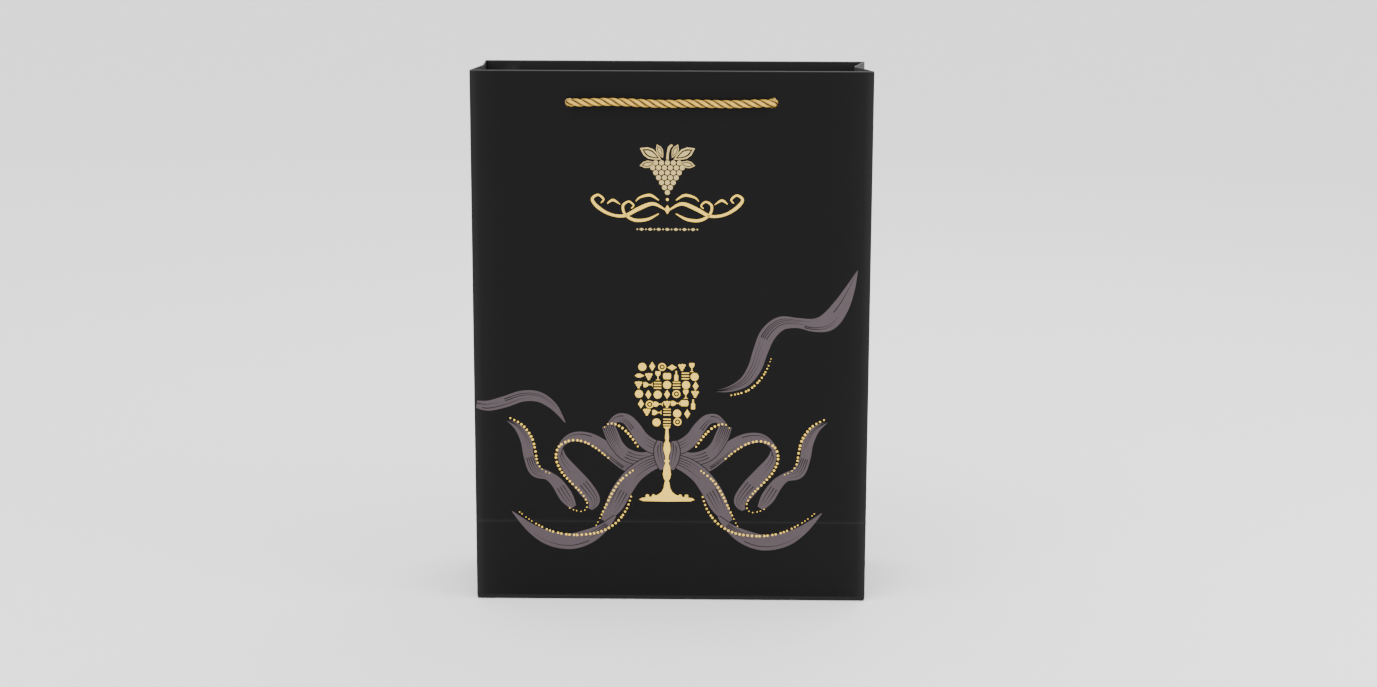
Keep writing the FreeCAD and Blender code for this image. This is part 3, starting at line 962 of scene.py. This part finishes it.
def emblem_shapes():
    """A bunch of grapes under three pairs of leaves, with its stalk."""
    found = []
    for row, count in enumerate((5, 6, 5, 4, 3, 2, 1)):
        z = 316.2 - 3.45 * row
        found += [disc((k - (count - 1) / 2) * 4.1, z, 1.75, 16) for k in range(count)]
    for side in (-1, 1):
        for turn, x, z, size in ((62, 11.5, 322.3, 8.2), (100, 13.5, 315.2, 5.6), (24, 5.2, 324.2, 5.0)):
            angle = -side * math.radians(turn)
            pieces = leaf_frame() + [[(px * 0.42, pz * 0.6) for px, pz in LEAF]]
            found += [around(piece, side * x, z, size, angle) for piece in pieces]
    stalk = [(0, 318.5, 0.9), (0.3, 323, 0.7), (1.4, 327, 0.9), (3.4, 328.6, 0.6)]
    return found + ribbon(smooth_line(stalk, 4))


def leaf_frame():
    """A leaf's outline as a narrow band."""
    inner = [(x * 0.7, z * 0.8) for x, z in LEAF]
    return [[LEAF[k - 1], LEAF[k], inner[k], inner[k - 1]] for k in range(len(LEAF))]


def rule_shapes():
    """A row of small diamonds and dots under the scroll."""
    found = [disc(x, RULE_Z, 0.55, 10) for x in range(-21, 22, 6)]
    found += [around(DIAMOND, x, RULE_Z, 1.7, math.pi / 2) for x in range(-18, 19, 6)]
    return found


def print_face(name, shapes, material, side, low, high, body):
    """Lays shapes on a wall as a thin film, keeping what is between two heights."""
    film = bmesh.new()
    for lift, outline in shapes:
        film.faces.new([film.verts.new((x + ART_X, lift, z)) for x, z in outline])
    film.normal_update()
    bmesh.ops.triangulate(film, faces=[f for f in film.faces if len(f.verts) > 4])
    cuts = [(low, -1, True), (high, 1, True)]
    if side < 0:
        cuts += [(CREASE_Z + d * way, 1, False) for d in CREASE_ROWS for way in (-1, 1)]
    for height, way, cleared in cuts:
        every = film.verts[:] + film.edges[:] + film.faces[:]
        bmesh.ops.bisect_plane(film, geom=every, plane_co=(0, 0, height),
                               plane_no=(0, 0, way), clear_outer=cleared)
    for corner in film.verts:
        x, lift, z = corner.co
        corner.co = Vector((-side * x, side * (HALF_D + wall_bow(x, z, side) + lift), z)) * MM
    bmesh.ops.dissolve_degenerate(film, edges=film.edges, dist=1e-6)
    for face in film.faces:
        face.normal_update()
        if face.normal.y * side < 0:
            face.normal_flip()
    mesh = bpy.data.meshes.new(name)
    film.to_mesh(mesh)
    film.free()
    thing = new_object(name, mesh, material)
    solid = thing.modifiers.new("film", "SOLIDIFY")
    solid.thickness = FILM * MM
    solid.offset = -1
    applied(thing)
    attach(thing, body)


def ornament_batches():
    """Every printed shape as (name, material, [(lift, outline), ...])."""
    mauve, lines, gold = [], [], []

    def add_ribbon(rows, stroke_rows, level, flip):
        line = smooth_line(rows)
        marks = [s for first, last, shares in stroke_rows for s in strokes(line, first, last, shares)]
        shapes, gap = ribbon(line), ribbon(line, 0.55)
        if flip:
            shapes, gap, marks = mirrored(shapes), mirrored(gap), mirrored(marks)
        base = PRINT_LIFT + 3 * LAYER * level
        lines.extend((base, s) for s in gap)
        mauve.extend((base + LAYER, s) for s in shapes)
        lines.extend((base + 2 * LAYER, s) for s in marks)

    for flip in (False, True):
        for level, (name, rows) in enumerate(BOW.items()):
            add_ribbon(rows, BOW_STROKES[name], level, flip)
        dots = [d for row in BOW_BEADS for d in beads(row, 2.9, 0.42, 0.9)]
        top = PRINT_LIFT + 3 * LAYER * len(BOW)
        gold.extend((top, d) for d in (mirrored(dots) if flip else dots))
    for name, rows in LOOSE.items():
        add_ribbon(rows, LOOSE_STROKES[name], 0, False)
    gold.extend((top, d) for row in LOOSE_BEADS for d in beads(row, 2.6, 0.35, 0.75))
    glass = [(top, s) for s in bowl_shapes()]
    glass.append((top + LAYER, turned_outline(STEM)))
    glass += [(top + 2 * LAYER, disc(x, 77, 1.3)) for x in (-14, -9.5, 9.5, 14)]
    scroll = [s for row in SCROLL for s in ribbon(smooth_line(row))]
    scroll += mirrored(scroll) + [around(DIAMOND, 0, 283.5, 3.2), disc(0, 290.5, 1.0)]
    return [
        ("ribbon", MAUVE, mauve),
        ("ribbon_lines", LINE_INK, lines),
        ("beads", FOIL, gold),
        ("glass", FOIL, glass),
        ("scroll", FOIL, [(PRINT_LIFT, s) for s in scroll]),
        ("rule", DULL_FOIL, [(PRINT_LIFT, s) for s in rule_shapes()]),
        ("emblem", DULL_FOIL, [(PRINT_LIFT, s) for s in emblem_shapes()]),
    ]


def print_ornament():
    for name, material, shapes in ornament_batches():
        heights = [z for _, outline in shapes for _, z in outline]
        if min(heights) < CREASE_Z:
            print_face(f"front_lower_{name}", shapes, material, -1, 0, CREASE_Z, "front_lower")
        print_face(f"front_{name}", shapes, material, -1, CREASE_Z, TOP, "front")
        print_face(f"back_{name}", shapes, material, 1, 0, TOP, "back")


print_ornament()


# ---------------------------------------------------------------- plain CAD pieces

for node, material in (
    ("front_top_card", BOARD), ("back_top_card", BOARD), ("base_board", LINED),
    ("side_seam_tab", BLACK), ("bottom_flap_rear", BLACK), ("bottom_flap_left", BLACK),
    ("bottom_flap_right", BLACK),
):
    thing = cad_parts[node]
    thing.data.materials.clear()
    thing.data.materials.append(material)


# ---------------------------------------------------------------- floor and light

FLOOR_SIZE = 30
FLOOR_DROP = 0.0003
SKY_STRENGTH = 1.9


def make_stage():
    floor = bmesh.new()
    bmesh.ops.create_grid(floor, x_segments=1, y_segments=1, size=FLOOR_SIZE)
    mesh = bpy.data.meshes.new("floor")
    floor.to_mesh(mesh)
    floor.free()
    n = Nodes("floor")
    n.surface(Base_Color=(0.9, 0.9, 0.9, 1), Roughness=0.9)
    mesh.materials.append(n.material)
    thing = bpy.data.objects.new("floor", mesh)
    thing.location.z = -FLOOR_DROP
    bpy.context.scene.collection.objects.link(thing)
    world = bpy.data.worlds.new("studio")
    world.use_nodes = True
    world.node_tree.nodes["Background"].inputs["Color"].default_value = (1, 1, 1, 1)
    world.node_tree.nodes["Background"].inputs["Strength"].default_value = SKY_STRENGTH
    bpy.context.scene.world = world


def area_light(name, place, target, size, power):
    light = bpy.data.lights.new(name, "AREA")
    light.size = size
    light.energy = power
    thing = bpy.data.objects.new(name, light)
    thing.location = place
    way = Vector(target) - Vector(place)
    thing.rotation_euler = way.to_track_quat("-Z", "Y").to_euler()
    bpy.context.scene.collection.objects.link(thing)


make_stage()
area_light("key", (-0.5, -1.0, 2.2), (0, 0, 0.3), 1.2, 26)
area_light("fill", (1.3, -0.55, 0.6), (0.1, 0, 0.2), 0.9, 12)
area_light("rim", (0.5, 1.4, 1.6), (0, 0, 0.3), 1.0, 10)
